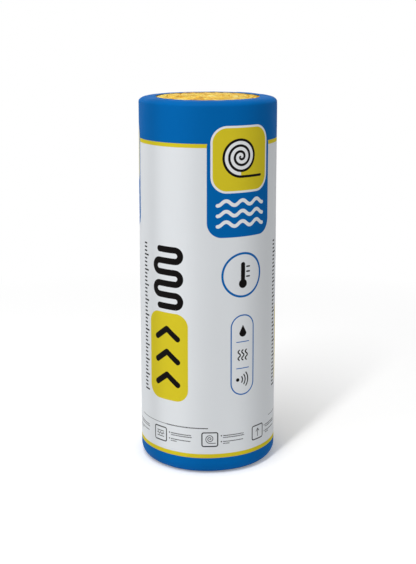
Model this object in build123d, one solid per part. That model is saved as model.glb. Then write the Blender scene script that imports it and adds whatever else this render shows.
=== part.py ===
from build123d import *
import math
import os

# A roll of glass wool insulation, stood on end. A long blanket is wound on itself, squeezed, and
# held by a sleeve of printed film that folds over both ends and leaves a round opening there.
# Millimetres, +Z up. The origin is on the roll's axis, at the level that it stands on.

os.makedirs("parts", exist_ok=True)

# Whole roll
roll_height = 1200.0            # the blanket's width, from the floor to the film's highest edge
roll_diameter = 448.0           # over the film

# Film sleeve
film_thickness = 0.7
film_gap = 0.3                  # between the film and the wool that fills it
film_lift = 1.0                 # from the floor up to the film's underside
end_opening_diameter = 336.0    # the round opening in each end of the film
shoulder_radius = 12.0          # the fold over the top
shoulder_slope = 5.0            # degrees that the film climbs from the fold to the opening's edge
base_fold_radius = 30.0         # the fold under the base
hidden_fold_flats = 3           # inside the film, each fold is this many flats instead of an arc
lap_width = 60.0                # where the film's two edges lie over each other
lap_direction = 143.0           # degrees round the axis from -Y towards +X

# Wool blanket
turn_thickness = 31.9           # one turn of the blanket, as it is squeezed in the roll
joint_mouth = 8.0               # the groove between one turn and the next, across
joint_depth = 6.0               # and down into the end
curl_to_mouth = 0.75            # radius of the innermost curl, in mouths of the groove
cut_overshoot = 2.0             # how far a cutting section stands out of the face it cuts

film_radius = roll_diameter / 2
opening_radius = end_opening_diameter / 2
film_clearance = film_thickness + film_gap
slope_rise = math.tan(math.radians(shoulder_slope))

# Centres of the two folds, as radius and height
base_centre = (film_radius - base_fold_radius, film_lift + base_fold_radius)
shoulder_centre_radius = film_radius - shoulder_radius
shoulder_centre = (
    shoulder_centre_radius,
    roll_height
    - (shoulder_centre_radius - opening_radius) * slope_rise
    - shoulder_radius / math.cos(math.radians(shoulder_slope)),
)


def side_outline(setback):
    """The roll's side from its base to the edge of its top opening, set back from the film's outside."""
    base_fold = JernArc((base_centre[0], film_lift + setback), (1, 0), base_fold_radius - setback, 90)
    wall = Line(base_fold @ 1, (film_radius - setback, shoulder_centre[1]))
    shoulder = JernArc(wall @ 1, (0, 1), shoulder_radius - setback, 90 - shoulder_slope)
    fold_end = shoulder @ 1
    edge_height = fold_end.Y + (fold_end.X - opening_radius) * slope_rise
    slope = Line(fold_end, (opening_radius, edge_height))
    if setback > 0:
        base_fold = flattened(base_fold)
        shoulder = flattened(shoulder)
    return [*base_fold.edges(), wall, *shoulder.edges(), slope]


def flattened(arc):
    """Flats from point to point along an arc, for a fold that nothing shows."""
    return Polyline([arc @ (step / hidden_fold_flats) for step in range(hidden_fold_flats + 1)])


def film_lap():
    """The second layer of film where its edges lie over each other, along the straight side."""
    bottom = base_centre[1]
    top = shoulder_centre[1]
    strip = Plane.XZ * Pos(film_radius, (bottom + top) / 2) * Rectangle(2 * film_thickness, top - bottom)
    lap_angle = math.degrees(lap_width / film_radius)
    lap_start = lap_direction - 90 - lap_angle / 2
    return Rot(0, 0, lap_start) * revolve(strip, Axis.Z, lap_angle)


def film_sleeve():
    """A thin shell folded over both ends, with a round opening there, and a lap down its back."""
    outer = side_outline(0)
    inner = side_outline(film_thickness)
    outer_base = Line((0, film_lift), outer[0] @ 0)
    inner_base = Line((0, film_lift + film_thickness), inner[0] @ 0)
    axis = Line(outer_base @ 0, inner_base @ 0)
    top_edge = Line(outer[-1] @ 1, inner[-1] @ 1)
    section = make_face(Plane.XZ * Wire([*outer, *inner, outer_base, inner_base, axis, top_edge]))
    base_opening = Cylinder(opening_radius, 2 * base_centre[1])
    return revolve(section, Axis.Z) - base_opening + film_lap()


def turn_joint(end_level, outward):
    """The spiral groove between the blanket's turns, as cutters for one end of the roll.

    Half rings about two centres, half a turn's thickness apart, make a spiral of constant pitch.
    outward is 1 on the top end and -1 on the base.
    """
    half_step = turn_thickness / 2
    innermost = curl_to_mouth * joint_mouth
    outermost = film_radius - film_clearance - turn_thickness
    half_rings = int((outermost - innermost) // half_step) + 1
    half_mouth = joint_mouth / 2 * (1 + cut_overshoot / joint_depth)
    mouth_level = end_level + outward * cut_overshoot
    cutters = []
    for number in range(half_rings):
        centre = half_step * (number % 2)
        middle = centre + innermost + number * half_step
        section = Polygon(
            (middle - half_mouth, mouth_level),
            (middle + half_mouth, mouth_level),
            (middle, end_level - outward * joint_depth),
            align=None,
        )
        half_turn = 180 if number % 2 == 0 else -180
        cutters.append(revolve(Plane.XZ * section, Axis((centre, 0, 0), (0, 0, 1)), half_turn))
    return cutters


def wool_foot():
    """The wool that stands out through the film's base opening, down to the floor."""
    radius = opening_radius - film_gap
    stand_out = film_lift + film_clearance
    section = Polygon(
        (0, 0),
        (radius - stand_out, 0),
        (radius, stand_out),
        (radius, base_centre[1]),
        (0, base_centre[1]),
        align=None,
    )
    return revolve(Plane.XZ * section, Axis.Z)


def wool_blanket_roll():
    """The wound blanket: it fills the film, and its turns show as a spiral on both ends."""
    outline = side_outline(film_clearance)
    top_edge = outline[-1] @ 1
    base = Line((0, film_lift + film_clearance), outline[0] @ 0)
    top = Line((0, top_edge.Y), top_edge)
    axis = Line(base @ 0, top @ 0)
    section = make_face(Plane.XZ * Wire([*outline, base, axis, top]))
    roll = revolve(section, Axis.Z) + wool_foot()
    return roll - turn_joint(top_edge.Y, 1) - turn_joint(0, -1)


export_step(film_sleeve(), "parts/film_sleeve.step")
export_step(wool_blanket_roll(), "parts/wool_blanket_roll.step")
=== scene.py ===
import bpy
import bmesh
import math
import random
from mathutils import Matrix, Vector, noise


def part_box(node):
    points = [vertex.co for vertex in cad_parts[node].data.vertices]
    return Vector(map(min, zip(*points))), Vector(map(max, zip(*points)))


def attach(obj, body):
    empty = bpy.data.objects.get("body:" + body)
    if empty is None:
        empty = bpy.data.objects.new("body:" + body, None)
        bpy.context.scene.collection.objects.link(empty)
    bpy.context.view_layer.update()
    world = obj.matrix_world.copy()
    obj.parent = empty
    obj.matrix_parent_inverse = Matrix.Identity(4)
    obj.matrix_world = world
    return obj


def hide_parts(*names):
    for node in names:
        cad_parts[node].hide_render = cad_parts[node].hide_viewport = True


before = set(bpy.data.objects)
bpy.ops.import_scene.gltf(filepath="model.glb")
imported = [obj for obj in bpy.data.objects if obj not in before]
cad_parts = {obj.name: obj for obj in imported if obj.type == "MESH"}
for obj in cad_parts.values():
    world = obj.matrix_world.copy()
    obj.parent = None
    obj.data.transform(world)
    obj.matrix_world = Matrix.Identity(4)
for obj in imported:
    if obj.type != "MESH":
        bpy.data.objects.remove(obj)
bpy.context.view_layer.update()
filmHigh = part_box("film_sleeve")[1]
rollRadius = filmHigh[0]
rollTop = filmHigh[2]
print("frame loaded, roll radius", round(rollRadius, 4), "height", round(rollTop, 4))


# Small things that several pieces use

def smoothStep(low, high, value):
    part = min(max((value - low) / (high - low), 0.0), 1.0)
    return part * part * (3 - 2 * part)


def quarterLength(run, rise):               # a quarter of an ellipse, measured round its edge
    return math.pi / 4 * (3 * (run + rise) - math.sqrt((3 * run + rise) * (run + 3 * rise)))


def newPiece(name, mesh):
    piece = bpy.data.objects.new(name, mesh)
    bpy.context.scene.collection.objects.link(piece)
    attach(piece, "root")
    return piece


def smoothShaded(mesh):
    mesh.polygons.foreach_set("use_smooth", [True] * len(mesh.polygons))
    mesh.update()


class Flow:                                 # a number or a vector that runs through a node tree
    def __init__(self, tree, socket):
        self.tree = tree
        self.socket = socket

    def through(self, kind, operation, values, output):
        node = self.tree.nodes.new(kind)
        node.operation = operation
        for place, value in values:
            if isinstance(value, Flow):
                self.tree.links.new(value.socket, node.inputs[place])
            else:
                node.inputs[place].default_value = value
        return Flow(self.tree, node.outputs[output])

    def math(self, operation, *others):
        return self.through("ShaderNodeMath", operation, enumerate((self, *others)), 0)

    def vector(self, operation, *others):
        output = 1 if operation in ("LENGTH", "DISTANCE", "DOT_PRODUCT") else 0
        return self.through("ShaderNodeVectorMath", operation, enumerate((self, *others)), output)

    def scaled(self, factor):
        return self.through("ShaderNodeVectorMath", "SCALE", [(0, self), (3, factor)], 0)

    def clamped(self):
        held = self.math("ADD", 0.0)
        held.socket.node.use_clamp = True
        return held

    def __add__(self, other):
        return self.math("ADD", other)

    def __sub__(self, other):
        return self.math("SUBTRACT", other)

    def __mul__(self, other):
        return self.math("MULTIPLY", other)

    def __truediv__(self, other):
        return self.math("DIVIDE", other)

    def __abs__(self):
        return self.math("ABSOLUTE")


def flowOf(tree, kind, output):
    return Flow(tree, tree.nodes.new(kind).outputs[output])


def joined(across, up):                     # two numbers as one place on the print
    node = across.tree.nodes.new("ShaderNodeCombineXYZ")
    across.tree.links.new(across.socket, node.inputs[0])
    across.tree.links.new(up.socket, node.inputs[1])
    return Flow(across.tree, node.outputs[0])


def parts(flow):
    node = flow.tree.nodes.new("ShaderNodeSeparateXYZ")
    flow.tree.links.new(flow.socket, node.inputs[0])
    return [Flow(flow.tree, output) for output in node.outputs]


def either(*shapes):                        # one shape out of several
    whole = shapes[0]
    for shape in shapes[1:]:
        whole = whole.math("MINIMUM", shape)
    return whole


def noiseFlow(place, scale, detail=2.0, roughness=0.5, dimensions="3D"):
    node = place.tree.nodes.new("ShaderNodeTexNoise")
    node.noise_dimensions = dimensions
    node.inputs["Scale"].default_value = scale
    node.inputs["Detail"].default_value = detail
    node.inputs["Roughness"].default_value = roughness
    place.tree.links.new(place.socket, node.inputs["W" if dimensions == "1D" else "Vector"])
    return Flow(place.tree, node.outputs[0])


def ranged(flow, fromLow, fromHigh, toLow=0.0, toHigh=1.0):
    node = flow.tree.nodes.new("ShaderNodeMapRange")
    limits = {"From Min": fromLow, "From Max": fromHigh, "To Min": toLow, "To Max": toHigh}
    for name, value in limits.items():
        node.inputs[name].default_value = value
    flow.tree.links.new(flow.socket, node.inputs["Value"])
    return Flow(flow.tree, node.outputs[0])


def mixedColour(share, under, over):        # under and over are colours or flows of colour
    node = share.tree.nodes.new("ShaderNodeMix")
    node.data_type = "RGBA"
    share.tree.links.new(share.socket, node.inputs[0])
    for place, colour in ((6, under), (7, over)):
        if isinstance(colour, Flow):
            share.tree.links.new(colour.socket, node.inputs[place])
        else:
            node.inputs[place].default_value = (*colour, 1.0)
    return Flow(share.tree, node.outputs[2])


def newMaterial(name):
    material = bpy.data.materials.new(name)
    material.use_nodes = True
    shader = material.node_tree.nodes["Principled BSDF"]
    return material, material.node_tree, shader


def bumpInto(shader, height, distance):
    node = height.tree.nodes.new("ShaderNodeBump")
    node.inputs["Distance"].default_value = distance
    height.tree.links.new(height.socket, node.inputs["Height"])
    height.tree.links.new(node.outputs[0], shader.inputs["Normal"])


# Shapes for the print. Each gives how far a place lies outside the shape, in metres

def discShape(spot, centre, radius):
    return spot.vector("DISTANCE", (*centre, 0.0)) - radius


def ringShape(spot, centre, radius, line):
    return abs(discShape(spot, centre, radius)) - line / 2


def plateShape(spot, centre, size, corner=0.0):
    half = (size[0] / 2 - corner, size[1] / 2 - corner, 1.0)
    beyond = spot.vector("SUBTRACT", (*centre, 0.0)).vector("ABSOLUTE").vector("SUBTRACT", half)
    outside = beyond.vector("MAXIMUM", (0.0, 0.0, 0.0)).vector("LENGTH")
    across, up = parts(beyond)[:2]
    return outside + across.math("MAXIMUM", up).math("MINIMUM", 0.0) - corner


def frameShape(spot, centre, size, corner, line):
    return abs(plateShape(spot, centre, size, corner)) - line / 2


def strokeShape(spot, start, end, line, endLine=None):      # a straight stroke with round ends
    run = (end[0] - start[0], end[1] - start[1], 0.0)
    squared = run[0] ** 2 + run[1] ** 2
    fromStart = spot.vector("SUBTRACT", (*start, 0.0))
    share = fromStart.vector("DOT_PRODUCT", (run[0] / squared, run[1] / squared, 0.0)).clamped()
    nearest = share.through("ShaderNodeVectorMath", "SCALE", [(0, run), (3, share)], 0)
    away = fromStart.vector("DISTANCE", nearest)
    if endLine is None:
        return away - line / 2
    return away - (share * ((endLine - line) / 2) + line / 2)


def waveShape(spot, centre, swing, wavelength, line, waves):  # a wave that runs across, with round ends
    across, up = parts(spot.vector("SUBTRACT", (*centre, 0.0)))[:2]
    phase = across * (math.tau / wavelength)
    slope = phase.math("SINE") * (swing * math.tau / wavelength)
    steep = (slope * slope + 1.0).math("SQRT")
    away = abs(up - phase.math("COSINE") * swing) / steep
    end = wavelength * waves / 2
    beyond = abs(across) - end
    tip = joined(beyond, up - swing * math.cos(math.pi * waves)).vector("LENGTH")
    between = away.math("MAXIMUM", beyond * 100.0)           # past the ends only the round tips count
    return between.math("MINIMUM", tip) - line / 2


def coilShapes(spot, centre, radius, turns, line):          # a coil's whole face, and its spiral line
    pitch = radius / turns
    across, up = parts(spot.vector("SUBTRACT", (*centre, 0.0)))[:2]
    out = spot.vector("DISTANCE", (*centre, 0.0))
    turn = up.math("ARCTAN2", across) * (1 / math.tau)
    back = (turn * -1.0 - 0.25).math("FRACT")                # of a turn, back from its end at the bottom
    face = out + back * pitch - radius
    layer = (face / pitch + 0.5).math("FRACT") - 0.5
    spiral = abs(layer) * pitch - line / 2
    return face, spiral.math("MAXIMUM", face - line / 2)


def loopShape(spot, centre, width, step, line):             # one line that runs to and fro, six times
    across, up = parts(spot.vector("SUBTRACT", (*centre, 0.0)))[:2]
    straight = (width - line - step) / 2
    beyond = abs(across) - straight
    level = (up + step / 2).math("WRAP", step / 2, -step / 2)
    runs = joined(beyond.math("MAXIMUM", 0.0), level).vector("LENGTH") - line / 2
    fromRight = joined(across - straight, up.math("WRAP", step, -step)).vector("LENGTH")
    fromLeft = joined(across + straight, (up + step).math("WRAP", step, -step)).vector("LENGTH")
    rightBends = (abs(fromRight - step / 2) - line / 2).math("MAXIMUM", across * -1.0 + straight)
    leftBends = (abs(fromLeft - step / 2) - line / 2).math("MAXIMUM", across + straight)
    leftBends = leftBends.math("MAXIMUM", abs(up) - step * 2)
    return either(runs, rightBends, leftBends).math("MAXIMUM", abs(up) - step * 3)


inkFade = 0.0005                            # how far, in metres, an ink's edge reaches to each side


def inked(under, shape, colour):            # lays ink on what is under it
    return mixedColour(ranged(shape, inkFade, -inkFade), under, colour)


# The film: one flat sheet, rolled round the blanket, lapped at the back and folded over both ends

film = {
    "openingRadius": 0.168,
    "lift": 0.001,                          # its underside, above the floor
    "lowest": 0.0003,                       # and no ripple comes nearer the floor than this
    "footRun": 0.026, "footRise": 0.034,    # the fold under the base
    "shoulderRun": 0.031, "shoulderDrop": 0.016,
    "lapDirection": 143.0,                  # degrees from the front towards the right
    "lapWidth": 0.060,
    "lapRaise": 0.0009,
    "lapRise": 0.020,                       # the film climbs onto its lap in this length
    "thickness": 0.0004,
    "columns": 384,
    "rows": {"under": 5, "foot": 10, "wall": 86, "shoulder": 12, "brim": 7},
    # Ripples, each with its noise scales round the roll and along it
    "slowRipple": 0.0009, "slowScales": (4.0, 4.0),
    "pullRipple": 0.0012, "pullScales": (9.0, 0.6),
    "finePull": 0.00025, "fineScales": (26.0, 2.0), "fineShift": 5.0,
    "pucker": 0.0008, "puckerScales": (7.0, 2.0),
    "edgeWander": 0.0015, "edgeScales": (3.0, 9.0),
    "foldCalm": 0.35,                       # share of the ripples that is left off the wall
}

lengths = {
    "under": rollRadius - film["footRun"] - film["openingRadius"],
    "foot": quarterLength(film["footRun"], film["footRise"]),
    "wall": rollTop - film["shoulderDrop"] - film["lift"] - film["footRise"],
    "shoulder": quarterLength(film["shoulderRun"], film["shoulderDrop"]),
    "brim": rollRadius - film["shoulderRun"] - film["openingRadius"],
}
sheetWidth = math.tau * rollRadius + film["lapWidth"]
sheetLength = sum(lengths.values())
wallStart = lengths["under"] + lengths["foot"]
wallFoot = film["lift"] + film["footRise"]
lapEnd = math.radians(film["lapDirection"]) + film["lapWidth"] / 2 / rollRadius
lapStart = lapEnd - sheetWidth / rollRadius


def filmLine(stretch, share):               # radius, height, and the way out of the surface there
    if stretch == "under":
        return film["openingRadius"] + share * lengths["under"], film["lift"], 0.0, -1.0
    if stretch == "foot":
        turn = share * math.pi / 2
        radius = rollRadius - film["footRun"] * (1 - math.sin(turn))
        height = wallFoot - film["footRise"] * math.cos(turn)
        return radius, height, math.sin(turn), -math.cos(turn)
    if stretch == "wall":
        return rollRadius, wallFoot + share * lengths["wall"], 1.0, 0.0
    if stretch == "shoulder":
        turn = share * math.pi / 2
        radius = rollRadius - film["shoulderRun"] * (1 - math.cos(turn))
        height = rollTop - film["shoulderDrop"] * (1 - math.sin(turn))
        return radius, height, math.cos(turn), math.sin(turn)
    return film["openingRadius"] + (1 - share) * lengths["brim"], rollTop, 0.0, 1.0


def filmRows():                             # each row's stretch, share of it and length from the edge
    rows = []
    done = 0.0
    for stretch, count in film["rows"].items():
        for step in range(count):
            rows.append((stretch, step / count, done + lengths[stretch] * step / count))
        done += lengths[stretch]
    rows.append(("brim", 1.0, done))
    return rows


def rippleAt(x, y, height, scales, shift=0.0):
    across, along = scales
    return noise.noise(Vector((x * across, y * across, height * along + shift)))


def filmRelief(turn, radius, height, stretch, share):
    place = Vector((radius * math.sin(turn), -radius * math.cos(turn), height))
    slow = rippleAt(place.x, place.y, height, film["slowScales"]) * film["slowRipple"]
    pull = rippleAt(place.x, place.y, height, film["pullScales"]) * film["pullRipple"]
    pull += rippleAt(place.x, place.y, height, film["fineScales"], film["fineShift"]) * film["finePull"]
    pucker = rippleAt(math.sin(turn), math.cos(turn), height, film["puckerScales"]) * film["pucker"]
    gathers = {"under": 1.0, "foot": (1 - share) ** 2, "wall": 0.0, "shoulder": share, "brim": 1.0}
    gather = gathers[stretch]
    calm = 1.0 if stretch == "wall" else film["foldCalm"]
    return (slow + pull) * calm + pucker * gather - film["pucker"] * 0.5 * gather


def filmMesh():
    rows = filmRows()
    shaped = bmesh.new()
    sheetUv = shaped.loops.layers.uv.new("OFBake")
    bmesh.ops.create_grid(shaped, x_segments=film["columns"], y_segments=len(rows) - 1, size=0.5)
    for face in shaped.faces:
        for loop in face.loops:
            row = round((loop.vert.co.y + 0.5) * (len(rows) - 1))
            loop[sheetUv].uv = (loop.vert.co.x + 0.5, rows[row][2] / sheetLength)
    for corner in shaped.verts:
        stretch, share = rows[round((corner.co.y + 0.5) * (len(rows) - 1))][:2]
        travelled = (corner.co.x + 0.5) * sheetWidth
        turn = lapStart + travelled / rollRadius
        radius, height, outward, upward = filmLine(stretch, share)
        climbStart = film["lapWidth"] + film["lapRise"]
        onLap = film["lapRaise"] * (1 - smoothStep(film["lapWidth"], climbStart, sheetWidth - travelled))
        relief = onLap + filmRelief(turn, radius, height, stretch, share)
        if stretch in ("brim", "under"):
            nearEdge = share if stretch == "brim" else 1 - share
            wander = rippleAt(math.sin(turn), math.cos(turn), height, film["edgeScales"])
            radius += wander * film["edgeWander"] * nearEdge
        radius += relief * outward
        height = max(height + relief * upward, film["lowest"])
        corner.co = (radius * math.sin(turn), -radius * math.cos(turn), min(height, rollTop))
    bmesh.ops.recalc_face_normals(shaped, faces=shaped.faces)
    outwards = sum(face.normal.dot(face.calc_center_median()) for face in shaped.faces)
    if outwards < 0:
        bmesh.ops.reverse_faces(shaped, faces=shaped.faces)
    mesh = bpy.data.meshes.new("filmSleeve")
    shaped.to_mesh(mesh)
    shaped.free()
    smoothShaded(mesh)
    return mesh


# The film's print: its inks, and each motif's place and sizes on the flat sheet, in metres

ink = {
    "white": (0.740, 0.765, 0.790),
    "paper": (0.80, 0.815, 0.83),
    "blue": (0.000, 0.122, 0.405),
    "yellow": (0.660, 0.545, 0.022),
    "black": (0.006, 0.005, 0.005),
    "grey": (0.022, 0.023, 0.026),
}

bands = {
    "footBlue": 0.0545, "footYellow": 0.068,
    "headYellow": 1.0575, "headBlue": 1.070,
}

repeat = {
    "length": 0.527,                        # round the roll, from one print to the next
    "middle": 0.1128,                       # the panel's middle, from the front of the roll
    "rightEnd": 0.130,                      # where one print ends, right of the panel's middle
}

# From here on, places across are measured from the middle of the panel, and levels from the floor

panel = {"size": (0.232, 0.330), "bottom": 0.776, "corner": 0.048}
coilSign = {
    "centre": (0.0, 1.020), "size": 0.196, "corner": 0.046, "rim": 0.0065,
    "coilCentre": (-0.006, 1.028), "coilRadius": 0.062, "coilTurns": 3.4, "coilLine": 0.0080,
    "tailEnd": 0.072,
}
waves = {
    "levels": (0.885, 0.852, 0.819),
    "swing": 0.0070, "wavelength": 0.055, "line": 0.0112, "count": 3,
}
roundSign = {"centre": (0.003, 0.653), "radius": 0.0695, "line": 0.0072}
tallSign = {
    "centre": (0.004, 0.391), "size": (0.082, 0.262), "corner": 0.040, "line": 0.0042,
    "barHalf": 0.022, "barLine": 0.00294,
    "dropSink": 0.008, "soundRise": 0.006,
}
loopLine = {"centre": (-0.250, 0.640), "width": 0.118, "step": 0.0368, "line": 0.0205}
plate = {
    "centre": (-0.252, 0.382), "size": (0.152, 0.290), "corner": 0.042,
    "step": 0.076, "chevronTop": (0.0, 0.016), "chevronEnd": (0.040, -0.014), "line": 0.019,
    "chevronsHeight": 0.222,
}
ruler = {
    "across": -0.352, "low": 0.241, "high": 0.742, "step": 0.0125,
    "line": 0.0052, "corner": 0.001,
    "short": 0.018, "long": 0.028,
}
footLine = {
    "level": 0.1545, "line": 0.0016, "from": -0.392, "to": -0.256,
    "barsTo": -0.112, "barHeight": 0.0034,
}

# Figures for the two signs, measured from the figure's own middle

thermometer = {
    "stemLow": -0.022, "stemHigh": 0.034, "stemLine": 0.015,
    "bulbLevel": -0.028, "bulbRadius": 0.0145,
    "tickLevels": (-0.006, 0.010, 0.026), "tickFrom": 0.014, "tickTo": 0.024, "tickLine": 0.005,
}
drop = {"bottom": -0.006, "top": 0.018, "line": 0.026, "topLine": 0.002}
sound = {"source": -0.018, "dot": 0.006, "arcs": (0.017, 0.027, 0.037), "line": 0.0042, "spread": 0.8}
warmth = {
    "shifts": (-0.013, 0.0, 0.013),
    "swing": 0.0038, "wavelength": 0.022, "line": 0.0044, "count": 1.5,
}


def bandInk(under, up):
    foot = up - bands["footBlue"]
    head = up * -1.0 + bands["headBlue"]
    yellowFoot = up - bands["footYellow"]
    yellowHead = up * -1.0 + bands["headYellow"]
    striped = inked(under, either(yellowFoot, yellowHead), ink["yellow"])
    return inked(striped, either(foot, head), ink["blue"])


def panelInk(under, spot):
    middle = (0.0, panel["bottom"] + panel["size"][1] / 2)
    return inked(under, plateShape(spot, middle, panel["size"], panel["corner"]), ink["blue"])


def coilInk(under, spot):
    size = (coilSign["size"], coilSign["size"])
    backing = plateShape(spot, coilSign["centre"], size, coilSign["corner"])
    under = inked(under, backing - coilSign["rim"], ink["paper"])
    under = inked(under, backing, ink["yellow"])
    across, up = coilSign["coilCentre"]
    radius, line = coilSign["coilRadius"], coilSign["coilLine"]
    tail = strokeShape(spot, (across, up - radius), (coilSign["tailEnd"], up - radius), line)
    face, spiral = coilShapes(spot, (across, up), radius, coilSign["coilTurns"], line)
    under = inked(under, face, ink["paper"])
    return inked(under, either(spiral, tail), ink["black"])


def waveInk(under, spot):
    lines = [
        waveShape(spot, (0.0, level), waves["swing"], waves["wavelength"], waves["line"], waves["count"])
        for level in waves["levels"]
    ]
    return inked(under, either(*lines), ink["paper"])


def thermometerShape(spot, across, up):
    stemEnds = [(across, up + thermometer["stemLow"]), (across, up + thermometer["stemHigh"])]
    stem = strokeShape(spot, *stemEnds, thermometer["stemLine"])
    bulb = discShape(spot, (across, up + thermometer["bulbLevel"]), thermometer["bulbRadius"])
    start, end = across + thermometer["tickFrom"], across + thermometer["tickTo"]
    ticks = [
        strokeShape(spot, (start, up + rise), (end, up + rise), thermometer["tickLine"])
        for rise in thermometer["tickLevels"]
    ]
    return either(stem, bulb, *ticks)


def dropShape(spot, across, up):
    bottom, top = (across, up + drop["bottom"]), (across, up + drop["top"])
    return strokeShape(spot, bottom, top, drop["line"], drop["topLine"])


def soundShape(spot, across, up):
    source = (across + sound["source"], up)
    sideways, rise = parts(spot.vector("SUBTRACT", (*source, 0.0)))[:2]
    cone = abs(rise) - sideways * sound["spread"]
    arcs = either(*[ringShape(spot, source, radius, sound["line"]) for radius in sound["arcs"]])
    return either(arcs.math("MAXIMUM", cone), discShape(spot, source, sound["dot"]))


def warmthShape(spot, across, up):
    turned = joined(*reversed(parts(spot)[:2]))
    sizes = [warmth[key] for key in ("swing", "wavelength", "line", "count")]
    return either(*[waveShape(turned, (up, across + shift), *sizes) for shift in warmth["shifts"]])


def signInk(under, spot):
    outline = ringShape(spot, roundSign["centre"], roundSign["radius"], roundSign["line"])
    across, up = tallSign["centre"]
    height = tallSign["size"][1]
    shell = frameShape(spot, (across, up), tallSign["size"], tallSign["corner"], tallSign["line"])
    start, end = across - tallSign["barHalf"], across + tallSign["barHalf"]
    bars = [
        strokeShape(spot, (start, up + rise), (end, up + rise), tallSign["barLine"])
        for rise in (-height / 6, height / 6)
    ]
    under = inked(under, either(outline, shell, *bars), ink["blue"])
    figures = either(
        thermometerShape(spot, *roundSign["centre"]),
        dropShape(spot, across, up + height / 3 - tallSign["dropSink"]),
        warmthShape(spot, across, up),
        soundShape(spot, across, up - height / 3 + tallSign["soundRise"]),
    )
    return inked(under, figures, ink["black"])


def plateInk(under, spot):
    under = inked(under, plateShape(spot, plate["centre"], plate["size"], plate["corner"]), ink["yellow"])
    across, up = parts(spot.vector("SUBTRACT", (*plate["centre"], 0.0)))[:2]
    folded = joined(abs(across), up.math("WRAP", plate["step"] / 2, -plate["step"] / 2))
    chevron = strokeShape(folded, plate["chevronTop"], plate["chevronEnd"], plate["line"])
    within = plateShape(spot, plate["centre"], (plate["size"][0], plate["chevronsHeight"]))
    return inked(under, chevron.math("MAXIMUM", within), ink["black"])


def loopInk(under, spot):
    shape = loopShape(spot, loopLine["centre"], loopLine["width"], loopLine["step"], loopLine["line"])
    return inked(under, shape, ink["black"])


def rulerInk(under, spot):
    across, up = parts(spot)[:2]
    fine = joined(across, up.math("WRAP", ruler["step"] / 2, -ruler["step"] / 2))
    coarse = joined(across, up.math("WRAP", ruler["step"] * 2, -ruler["step"] * 2))
    leftAligned = ruler["across"] - (ruler["long"] - ruler["short"]) / 2
    short = plateShape(fine, (leftAligned, 0.0), (ruler["short"], ruler["line"]), ruler["corner"])
    long = plateShape(coarse, (ruler["across"], 0.0), (ruler["long"], ruler["line"]), ruler["corner"])
    middle = (ruler["across"], (ruler["low"] + ruler["high"]) / 2)
    within = plateShape(spot, middle, (ruler["long"] * 2, ruler["high"] - ruler["low"]))
    return inked(under, either(short, long).math("MAXIMUM", within), ink["black"])


# Plain bars, broken into short lengths

gaps = {"slant": 31.0, "scale": 170.0, "from": 0.36, "to": 0.40, "edge": 0.001}


def brokenBars(spot, bars):                 # bars are pairs of a centre and a size
    across, up = parts(spot)[:2]
    run = noiseFlow(across + up * gaps["slant"], gaps["scale"], 0.0, dimensions="1D")
    gap = ranged(run, gaps["from"], gaps["to"], gaps["edge"], -gaps["edge"])
    return either(*[plateShape(spot, centre, size) for centre, size in bars]).math("MAXIMUM", gap)


def footLineInk(under, spot):
    start, end, barsEnd = footLine["from"], footLine["to"], footLine["barsTo"]
    level = footLine["level"]
    line = plateShape(spot, ((start + end) / 2, level), (end - start, footLine["line"]))
    bars = brokenBars(spot, [(((end + barsEnd) / 2, level), (barsEnd - end, footLine["barHeight"]))])
    return inked(under, either(line, bars), ink["grey"])


# Three notes stand in each print, a third of it apart: a frame with a figure, and bars beside it.
# Note 0 is the first, note -1 stands left of it and note 1 right of it.

notes = {
    "first": -0.106, "level": 0.117,
    "leftShare": 0.030,                     # how much of a note's own stretch is left of its frame's middle
    "size": (0.051, 0.046), "corner": 0.006, "line": 0.0038,
    "bulletLevels": (0.0115, -0.0085), "bulletAcross": 0.0375, "bulletRadius": 0.0022,
    "bars": (                               # middle, rise and width of each
        (0.079, 0.0115, 0.072),
        (0.080, 0.0050, 0.074),
        (0.078, -0.0085, 0.070),
        (0.054, -0.0150, 0.022),
    ),
    "barHeight": 0.0030,
    "coilRise": 0.002, "coilRadius": 0.0145, "coilTurns": 2.3, "coilLine": 0.0024,
    "waveSwing": 0.003, "wavelength": 0.0115, "waveLine": 0.0026, "waveCount": 2.5,
    "strokes": (                            # note, start, end and thickness of each
        (0, (0.0, -0.0125), (0.018, -0.0125), 0.0022),
        (-1, (-0.014, -0.009), (0.014, -0.009), 0.0026),
        (-1, (-0.014, 0.009), (0.014, 0.009), 0.0026),
        (1, (0.0, -0.014), (0.0, 0.012), 0.0026),
        (1, (0.0, 0.012), (-0.007, 0.003), 0.0026),
        (1, (0.0, 0.012), (0.007, 0.003), 0.0026),
    ),
}


def noteInk(under, spot):
    third = repeat["length"] / 3
    first, level = notes["first"], notes["level"]
    across, up = parts(spot)[:2]
    folded = joined((across - first).math("WRAP", third - notes["leftShare"], -notes["leftShare"]), up)
    outline = frameShape(folded, (0.0, level), notes["size"], notes["corner"], notes["line"])
    bullets = [
        discShape(folded, (notes["bulletAcross"], level + rise), notes["bulletRadius"])
        for rise in notes["bulletLevels"]
    ]
    bars = brokenBars(folded, [
        ((middle, level + rise), (width, notes["barHeight"])) for middle, rise, width in notes["bars"]
    ])
    coilCentre = (first, level + notes["coilRise"])
    coil = coilShapes(spot, coilCentre, notes["coilRadius"], notes["coilTurns"], notes["coilLine"])[1]
    waveSizes = [notes[key] for key in ("waveSwing", "wavelength", "waveLine", "waveCount")]
    wave = waveShape(spot, (first - third, level), *waveSizes)
    strokes = []
    for number, start, end, line in notes["strokes"]:
        middle = first + number * third
        ends = [(middle + place[0], level + place[1]) for place in (start, end)]
        strokes.append(strokeShape(spot, *ends, line))
    return inked(under, either(outline, *bullets, bars, coil, wave, *strokes), ink["grey"])


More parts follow.
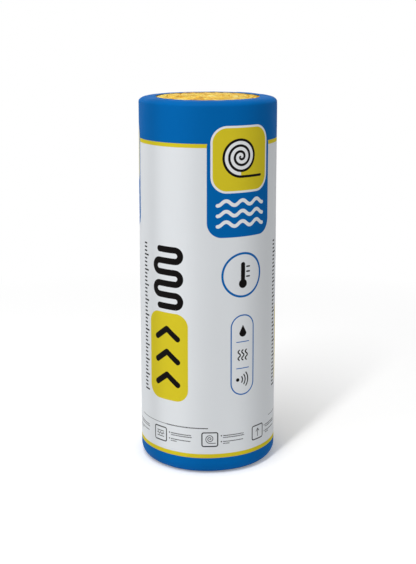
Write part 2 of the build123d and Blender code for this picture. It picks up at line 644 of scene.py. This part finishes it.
filmSurface = {
    # Soft streaks that run lengthways round the roll are painted highlights and painted shade, paler and
    # darker than the print
    "paintedStreakTone": 0.038,
    "paintedStreakWidth": 0.211,
    "paintedHighlightAt": -0.093,                    # where one painted highlight streak runs, from the front of the roll
    "paintedStreakDrift": 0.9, "driftScale": (5.0, 5.0, 0.8),
    "paintedShadeTone": 0.075,                    # painted shade: a soft darker band across every ink, once in each print
    "paintedShadeAt": -0.312,                     # from the middle of the print's panel
    "paintedShadeSharpness": 26.0,
    "cloudScale": 3.0, "cloudTone": 0.985, "cloudRange": (0.3, 0.7),
    "pullScale": (22.0, 22.0, 2.6), "pullHeight": 0.8,
    "grainScale": 260.0, "grainHeight": 0.06,
    "sealInset": 0.011,                     # the heat seal line, from the lap's upper edge
    "sealHalf": 0.0016, "sealEdge": 0.0006, "sealHeight": 0.25,
    "bump": 0.0006,
    "roughScale": 9.0, "roughFrom": (0.3, 0.7), "roughTo": (0.52, 0.64),
    "specular": 0.03,
}


def filmMaterial():
    material, tree, shader = newMaterial("printedFilm")
    look = filmSurface
    sheet = tree.nodes.new("ShaderNodeUVMap")
    sheet.uv_map = "OFBake"
    share = parts(Flow(tree, sheet.outputs[0]))
    around = share[0] * sheetWidth + lapStart * rollRadius
    up = share[1] * sheetLength + (wallFoot - wallStart)
    rightEnd = repeat["rightEnd"]
    across = (around - repeat["middle"]).math("WRAP", rightEnd, rightEnd - repeat["length"])
    spot = joined(across, up)
    body = flowOf(tree, "ShaderNodeTexCoord", "Object")
    cloud = ranged(noiseFlow(body, look["cloudScale"], 3.0), *look["cloudRange"])
    clouded = [value * look["cloudTone"] for value in ink["white"]]
    printed = bandInk(mixedColour(cloud, clouded, ink["white"]), up)
    motifs = (panelInk, coilInk, waveInk, signInk, plateInk, loopInk, rulerInk, footLineInk, noteInk)
    for motif in motifs:
        printed = motif(printed, spot)
    # painted highlights and shade: soft streaks that lighten and darken the print round the roll
    drift = noiseFlow(body.vector("MULTIPLY", look["driftScale"]), 1.0, 2.0) * look["paintedStreakDrift"]
    streaks = math.tau / look["paintedStreakWidth"]
    paintedStreaks = ((around - look["paintedHighlightAt"]) * streaks + drift).math("COSINE")
    # painted shade: a soft dark band across every ink, once in each print
    paintedShadeBand = ((across - look["paintedShadeAt"]) * (math.tau / repeat["length"])).math("COSINE")
    paintedShadeBand = (paintedShadeBand * 0.5 + 0.5).math("POWER", look["paintedShadeSharpness"])
    # the print's colour, lightened and darkened by the painted highlight streaks and the painted shade band
    tone = paintedStreaks * look["paintedStreakTone"] - paintedShadeBand * look["paintedShadeTone"] + 1.0
    tree.links.new(printed.scaled(tone).socket, shader.inputs["Base Color"])
    pull = noiseFlow(body.vector("MULTIPLY", look["pullScale"]), 1.0, 3.0, 0.55)
    grain = noiseFlow(body, look["grainScale"], 2.0)
    sealAt = lapStart * rollRadius + sheetWidth - look["sealInset"]
    seal = abs(around - sealAt) - look["sealHalf"]
    pressed = ranged(seal, -look["sealEdge"], look["sealEdge"])
    height = pull * look["pullHeight"] + grain * look["grainHeight"]
    bumpInto(shader, height + pressed * look["sealHeight"], look["bump"])
    smear = noiseFlow(body, look["roughScale"], 4.0)
    rough = ranged(smear, *look["roughFrom"], *look["roughTo"])
    tree.links.new(rough.socket, shader.inputs["Roughness"])
    shader.inputs["Specular IOR Level"].default_value = look["specular"]
    return material


# The wool blanket: its profile is spun, and then its two ends are worked into turns, clumps and tufts

wool = {
    "topLevel": 1.1998,                     # crowns of the turns, at the film's opening
    "dome": 0.0045,                         # and how much further they stand at the middle
    "footLevel": 0.0003,
    "clearance": 0.0014,                    # inside the film
    "openRadius": 0.172,                    # the top is cut into fine rings out to here
    "topRing": 0.0019,
    "footRing": 0.0034,
    "footStep": 0.002,                      # half the width of the step down to the foot, at the film's edge
    "foldSteps": 5,
    "sideLevels": (0.95, 0.75, 0.55, 0.35, 0.15),           # rings down its side
    "steps": 384,
    "turn": 0.0319,                         # one turn of the blanket
    "curl": 0.006,                          # radius of the innermost joint
    "wander": 0.07, "wanderScale": 22,      # share of a turn that a joint strays by
    "jointHalf": 0.0052, "jointDepth": 0.0072, "jointPower": 1.4,
    "leastJoint": 0.45, "jointScale": 14,   # share of its depth where a joint is nearly closed
    "crown": 0.0012,
    "clump": 0.0036, "clumpScale": 50,
    "tuft": 0.0012, "tuftScale": 230,
    "fineTuft": 0.00072, "fineTuftScale": 460,
    # The film's edge presses the wool flat from just inside it on the top, and holds it in at the foot
    "topZone": 0.010,
    "pressFrom": 0.006, "pressTo": 0.003, "pressFlat": 0.6, "pressDepth": 0.0010,
    "rimWidth": 0.012, "rimRise": 0.0022,
    "tones": ((0.98, 0.50, 0.010), (1.0, 0.83, 0.155), (1.0, 0.96, 0.42)),
}


def turnPlace(x, y):                        # how far a place lies across its turn, and which turn it is
    if y >= 0:
        out = math.hypot(x, y) - wool["curl"]
    else:
        out = math.hypot(x - wool["turn"] / 2, y) - wool["curl"] - wool["turn"] / 2
    return out / wool["turn"]


def woolNoise(x, y, scale, level):          # level keeps two noises, and the two ends, unlike each other
    return noise.noise(Vector((x * scale, y * scale, level)))


def woolRelief(x, y, side):                 # how deep the wool lies under its crowns
    phase = turnPlace(x, y) + woolNoise(x, y, wool["wanderScale"], 3.0 * side) * wool["wander"]
    across = phase - math.floor(phase)
    toJoint = min(across, 1 - across) * wool["turn"]
    joint = max(1 - toJoint / wool["jointHalf"], 0.0) ** wool["jointPower"]
    least = wool["leastJoint"]
    weak = least + (1 - least) * smoothStep(-0.5, 0.5, woolNoise(x, y, wool["jointScale"], 7.0 + side))
    pillow = (1 - 4 * across * (1 - across)) * wool["crown"]
    clump = smoothStep(-0.45, 0.45, woolNoise(x, y, wool["clumpScale"], 11.0 * side)) * wool["clump"]
    tuft = (0.5 + 0.5 * woolNoise(x, y, wool["tuftScale"], 5.0 * side)) * wool["tuft"]
    tuft += (0.5 + 0.5 * woolNoise(x, y, wool["fineTuftScale"], 9.0 * side)) * wool["fineTuft"]
    return joint * wool["jointDepth"] * weak + pillow + clump + tuft


def woolDome(radius):
    return wool["dome"] * max(1 - (radius / film["openingRadius"]) ** 2, 0.0)


def woolProfile():                          # radius and height, from the axis on top to the axis below
    inner = wool["clearance"]
    folds = wool["foldSteps"]
    topRings = int(wool["openRadius"] / wool["topRing"])
    outline = [(ring * wool["topRing"], wool["topLevel"]) for ring in range(topRings + 1)]
    outline.append((rollRadius - film["shoulderRun"], rollTop - inner))
    for step in range(1, folds + 1):
        radius, height, outward, upward = filmLine("shoulder", 1 - step / folds)
        outline.append((radius - inner * outward, height - inner * upward))
    for level in wool["sideLevels"]:
        outline.append((rollRadius - inner, level))
    for step in range(folds, -1, -1):
        radius, height, outward, upward = filmLine("foot", step / folds)
        outline.append((radius - inner * outward, height - inner * upward))
    outline.append((film["openingRadius"] + wool["footStep"], film["lift"] + inner))
    footRings = int((film["openingRadius"] - wool["footStep"]) / wool["footRing"])
    for ring in range(footRings, -1, -1):
        outline.append((ring * wool["footRing"], wool["footLevel"]))
    return outline


def woolMesh():
    shaped = bmesh.new()
    line = [shaped.verts.new((radius, 0.0, height)) for radius, height in woolProfile()]
    edges = [shaped.edges.new(pair) for pair in zip(line, line[1:])]
    bmesh.ops.spin(
        shaped, geom=line + edges, cent=(0, 0, 0), axis=(0, 0, 1),
        angle=math.tau, steps=wool["steps"], use_merge=True,
    )
    bmesh.ops.remove_doubles(shaped, verts=shaped.verts, dist=0.00001)
    bmesh.ops.recalc_face_normals(shaped, faces=shaped.faces)
    opening = film["openingRadius"]
    topReach = rollRadius - film["shoulderRun"] - wool["topRing"] / 2     # short of the shoulder's ring
    for corner in shaped.verts:
        x, y, z = corner.co
        radius = math.hypot(x, y)
        if z > rollTop - wool["topZone"] and radius < topReach:
            pressed = smoothStep(opening - wool["pressFrom"], opening + wool["pressTo"], radius)
            relief = woolRelief(x, y, 1) * (1 - wool["pressFlat"] * pressed)
            corner.co.z += woolDome(radius) - relief - pressed * wool["pressDepth"]
        elif z < film["lift"] and radius < opening:
            rim = smoothStep(opening - wool["rimWidth"], opening, radius)
            corner.co.z += woolRelief(x, y, -1) * (1 - rim) + rim * wool["rimRise"]
    mesh = bpy.data.meshes.new("woolBlanket")
    shaped.to_mesh(mesh)
    shaped.free()
    smoothShaded(mesh)
    return mesh


woolSurface = {                             # a range says where a tone starts to show and where it is full
    "headingScale": 5.0, "layerHeading": 0.6,
    "streakScale": 230.0, "layerScale": 620.0, "layerUp": 40.0,
    "fibreScale": 420.0, "clumpScale": 45.0,
    "streak": 0.32, "layer": 0.16, "fibre": 0.16, "clump": 0.36,        # shares of the tone
    "toneRange": (0.42, 0.53),
    # painted shade in the wool's hollows, by depth below the crowns
    "sunkShadeRange": (0.0018, 0.0060), "sunkShadeShare": 0.75,
    "glintRange": (0.83, 0.98), "glintShare": 0.7,
    "patchScale": 15.0,                     # patches that are browner or paler than the rest
    "brownRange": (0.50, 0.34), "brownShare": 0.85, "brownTint": (0.70, 0.60, 0.9),
    "paleRange": (0.50, 0.66), "paleShare": 0.75,
    "jointRange": (0.37, 0.5), "jointShare": 0.65, "jointTint": 0.60,
    "bump": 0.0011,
}

woolShine = {
    "Roughness": 0.95,
    "Specular IOR Level": 0.05,
    "Sheen Weight": 0.22,
    "Sheen Roughness": 0.5,
    "Sheen Tint": (1.0, 0.75, 0.18, 1.0),
}


def woolMaterial(name, tones):
    material, tree, shader = newMaterial(name)
    deep, pale, glint = tones
    look = woolSurface
    body = flowOf(tree, "ShaderNodeTexCoord", "Object")
    x, y, z = parts(body)
    flat = joined(x, y)
    shifted = flat.vector("SUBTRACT", (wool["turn"] / 2, 0.0, 0.0))
    behind = flat.vector("LENGTH") - wool["curl"]
    before = shifted.vector("LENGTH") - (wool["curl"] + wool["turn"] / 2)
    isFront = y.math("LESS_THAN", 0.0)
    out = before * isFront + behind * (isFront * -1.0 + 1.0)
    heading = flat.vector("NORMALIZE").scaled(look["headingScale"])
    acrossTurns = joined(out * look["streakScale"], z * look["streakScale"])
    acrossLayers = joined(out * look["layerScale"], z * look["layerUp"])
    streak = noiseFlow(heading.vector("ADD", acrossTurns), 1.0, 4.0, 0.65)
    layer = noiseFlow(heading.scaled(look["layerHeading"]).vector("ADD", acrossLayers), 1.0, 2.0, 0.5)
    fibre = noiseFlow(body, look["fibreScale"], 5.0, 0.65)
    clump = noiseFlow(body, look["clumpScale"], 3.0, 0.6)
    tone = streak * look["streak"] + layer * look["layer"] + fibre * look["fibre"] + clump * look["clump"]
    gold = mixedColour(ranged(tone, *look["toneRange"]), deep, pale)
    onTop = z.math("GREATER_THAN", rollTop / 2)
    domed = (flat.vector("DOT_PRODUCT", flat) * -1.0 / film["openingRadius"] ** 2 + 1.0) * wool["dome"]
    sunkTop = domed - z + wool["topLevel"]
    sunk = sunkTop * onTop + (z - wool["footLevel"]) * (onTop * -1.0 + 1.0)
    # painted shade: the wool turns to its deep tone where it lies further below the crowns, on top and at
    # the foot
    gold = mixedColour(ranged(sunk, *look["sunkShadeRange"], 0.0, look["sunkShadeShare"]), gold, deep)
    glints = ranged(fibre + clump * 0.5, *look["glintRange"], 0.0, look["glintShare"])
    gold = mixedColour(glints, gold, glint)
    patch = noiseFlow(flat, look["patchScale"], 4.0, 0.65)
    brown = [value * share for value, share in zip(deep, look["brownTint"])]
    gold = mixedColour(ranged(patch, *look["brownRange"], 0.0, look["brownShare"]), gold, brown)
    gold = mixedColour(ranged(patch, *look["paleRange"], 0.0, look["paleShare"]), gold, glint)
    toJoint = abs((out / wool["turn"]).math("FRACT") - 0.5)
    shade = [value * look["jointTint"] for value in deep]
    gold = mixedColour(ranged(toJoint, *look["jointRange"], 0.0, look["jointShare"]), gold, shade)
    tree.links.new(gold.socket, shader.inputs["Base Color"])
    bumpInto(shader, fibre + streak + layer * 0.5, look["bump"])
    for place, value in woolShine.items():
        shader.inputs[place].default_value = value
    return material


# Loose fibres that lie on the two ends, along the turns

fibres = {
    "seed": 41,
    "top": 2600,
    "foot": 700,
    "reach": 0.163,                         # inside the film's opening
    "lengths": (0.010, 0.040),
    "thickness": 0.00028,
    "points": 6,
    "stray": 0.55,                          # radians off the turn's own direction
    "bend": 12.0,                           # radians in each metre
    "lift": 0.0012, "leastLift": 0.2,
    "arch": 1.6, "footArch": 0.8,           # how high a fibre's middle stands, in lifts
    "sunk": 0.0002,                         # its ends, in the wool
    "follow": 0.8,                          # share of the wool's relief that it lies along
    "tones": ((0.95, 0.62, 0.10), (1.0, 0.84, 0.27), (1.0, 0.92, 0.50)),
}


def fibreHeight(x, y, side, arched):
    depth = woolRelief(x, y, side) * fibres["follow"]
    if side > 0:
        over = arched * fibres["arch"] - fibres["sunk"]
        return wool["topLevel"] + woolDome(math.hypot(x, y)) - depth + over
    over = arched * fibres["footArch"] - fibres["sunk"] / 2
    return max(wool["footLevel"] + depth - over, fibres["sunk"])


def fibreMesh():
    strands = bpy.data.curves.new("woolFibres", "CURVE")
    strands.dimensions = "3D"
    strands.bevel_depth = fibres["thickness"] / 2
    strands.bevel_resolution = 0
    strands.resolution_u = 1
    strands.use_fill_caps = True
    chance = random.Random(fibres["seed"])
    for number in range(fibres["top"] + fibres["foot"]):
        side = 1 if number < fibres["top"] else -1
        radius = fibres["reach"] * math.sqrt(chance.random())
        turn = chance.uniform(0, math.tau)
        x, y = radius * math.cos(turn), radius * math.sin(turn)
        heading = turn + math.pi / 2 + chance.gauss(0, fibres["stray"])
        bend = chance.gauss(0, fibres["bend"])
        length = chance.uniform(*fibres["lengths"])
        raised = chance.uniform(fibres["leastLift"], 1.0) * fibres["lift"]
        step = length / (fibres["points"] - 1)
        strand = strands.splines.new("POLY")
        strand.points.add(fibres["points"] - 1)
        for place, point in enumerate(strand.points):
            share = place / (fibres["points"] - 1)
            point.co = (x, y, fibreHeight(x, y, side, raised * math.sin(math.pi * share)), 1.0)
            heading += bend * step
            x += step * math.cos(heading)
            y += step * math.sin(heading)
            held = min(fibres["reach"] / math.hypot(x, y), 1.0)
            x, y = x * held, y * held
    holder = bpy.data.objects.new("strandCurve", strands)
    mesh = bpy.data.meshes.new_from_object(holder)
    bpy.data.objects.remove(holder)
    bpy.data.curves.remove(strands)
    smoothShaded(mesh)
    return mesh


def buildRoll():
    woolPiece = newPiece("woolBlanket", woolMesh())
    woolPiece.data.materials.append(woolMaterial("glassWool", wool["tones"]))
    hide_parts("wool_blanket_roll")
    print("wool blanket made,", len(woolPiece.data.polygons), "faces")
    fibrePiece = newPiece("woolFibres", fibreMesh())
    fibrePiece.data.materials.append(woolMaterial("glassFibre", fibres["tones"]))
    print("loose fibres made,", len(fibrePiece.data.polygons), "faces")
    filmPiece = newPiece("filmSleeve", filmMesh())
    filmPiece.data.materials.append(filmMaterial())
    wall = filmPiece.modifiers.new("thickness", "SOLIDIFY")
    wall.thickness = film["thickness"]
    wall.offset = -1.0
    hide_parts("film_sleeve")
    print("film sleeve made, flat", round(sheetWidth, 3), "by", round(sheetLength, 3))


# Floor, light and camera

stage = {
    "floorSize": 40.0,
    "floorColour": (0.90, 0.90, 0.90),
    "seenLift": 0.22,                       # what the camera sees on top of the floor's own light
    "fadeFrom": 1.6, "fadeTo": 2.6,         # metres from the roll, where the floor turns plain white
    "worldLevel": 0.37,
    "lampsAim": (0.0, 0.0, 0.6),
}

# A lamp's turn is in degrees to the left of the camera, and its climb in degrees up from the floor
lamps = {
    "key": {"turn": 27.0, "climb": 69.0, "distance": 9.0, "size": (0.6, 8.3), "power": 545.0},
    "side": {"turn": 57.0, "climb": 24.0, "distance": 9.0, "size": (8.0, 7.0), "power": 160.0},
}

camera = {
    "location": (0.0008, -3.570, 1.4759),
    "pitchDown": 0.1741,                    # radians
    "lens": 70.33, "sensor": 36.0,
    "shift": -0.14,
}


def seenFlow(tree):                         # 1 to the camera, and in what mirrors or lets light through
    path = tree.nodes.new("ShaderNodeLightPath")
    rays = ("Is Camera Ray", "Is Glossy Ray", "Is Transmission Ray")
    direct, mirrored, through = [Flow(tree, path.outputs[ray]) for ray in rays]
    return (direct + mirrored + through).clamped()


def floorMaterial():
    material = bpy.data.materials.new("paleFloor")
    material.use_nodes = True
    tree = material.node_tree
    tree.nodes.clear()
    diffuse = tree.nodes.new("ShaderNodeBsdfDiffuse")
    diffuse.inputs["Color"].default_value = (*stage["floorColour"], 1.0)
    raised = tree.nodes.new("ShaderNodeEmission")
    plain = tree.nodes.new("ShaderNodeEmission")
    seen = seenFlow(tree)
    tree.links.new((seen * stage["seenLift"]).socket, raised.inputs["Strength"])
    away = flowOf(tree, "ShaderNodeTexCoord", "Object").vector("LENGTH")
    far = ranged(away, stage["fadeFrom"], stage["fadeTo"]) * seen
    both = tree.nodes.new("ShaderNodeAddShader")
    tree.links.new(diffuse.outputs[0], both.inputs[0])
    tree.links.new(raised.outputs[0], both.inputs[1])
    mixer = tree.nodes.new("ShaderNodeMixShader")
    tree.links.new(far.socket, mixer.inputs[0])
    tree.links.new(both.outputs[0], mixer.inputs[1])
    tree.links.new(plain.outputs[0], mixer.inputs[2])
    output = tree.nodes.new("ShaderNodeOutputMaterial")
    tree.links.new(mixer.outputs[0], output.inputs["Surface"])
    return material


def buildStage():
    shaped = bmesh.new()
    bmesh.ops.create_grid(shaped, x_segments=1, y_segments=1, size=stage["floorSize"] / 2)
    mesh = bpy.data.meshes.new("floor")
    shaped.to_mesh(mesh)
    shaped.free()
    floor = bpy.data.objects.new("floor", mesh)
    bpy.context.scene.collection.objects.link(floor)
    floor.data.materials.append(floorMaterial())
    print("floor made")


def buildLight():
    world = bpy.data.worlds.new("studio")
    bpy.context.scene.world = world
    world.use_nodes = True
    tree = world.node_tree
    back = tree.nodes["Background"]
    back.inputs["Color"].default_value = (1.0, 1.0, 1.0, 1.0)
    level = ranged(seenFlow(tree), 0.0, 1.0, stage["worldLevel"], 1.0)
    tree.links.new(level.socket, back.inputs["Strength"])
    for name, chosen in lamps.items():
        lamp = bpy.data.lights.new(name, "AREA")
        lamp.shape = "RECTANGLE"
        lamp.size, lamp.size_y = chosen["size"]
        lamp.energy = chosen["power"]
        holder = bpy.data.objects.new(name, lamp)
        bpy.context.scene.collection.objects.link(holder)
        turn, climb = math.radians(chosen["turn"]), math.radians(chosen["climb"])
        reach = math.cos(climb)
        heading = Vector((-math.sin(turn) * reach, -math.cos(turn) * reach, math.sin(climb)))
        holder.location = Vector(stage["lampsAim"]) + heading * chosen["distance"]
        holder.rotation_euler = heading.to_track_quat("Z", "Y").to_euler()
    print("lamps made,", len(lamps))


def buildCamera():
    eye = bpy.data.cameras.new("camera")
    eye.lens = camera["lens"]
    eye.sensor_width = camera["sensor"]
    eye.shift_y = camera["shift"]
    holder = bpy.data.objects.new("camera", eye)
    bpy.context.scene.collection.objects.link(holder)
    holder.location = camera["location"]
    holder.rotation_euler = (math.pi / 2 - camera["pitchDown"], 0.0, 0.0)
    bpy.context.scene.camera = holder
    print("camera placed")


buildCamera()
buildStage()
buildLight()
buildRoll()
bpy.context.scene.view_settings.view_transform = "Standard"
bpy.context.view_layer.update()
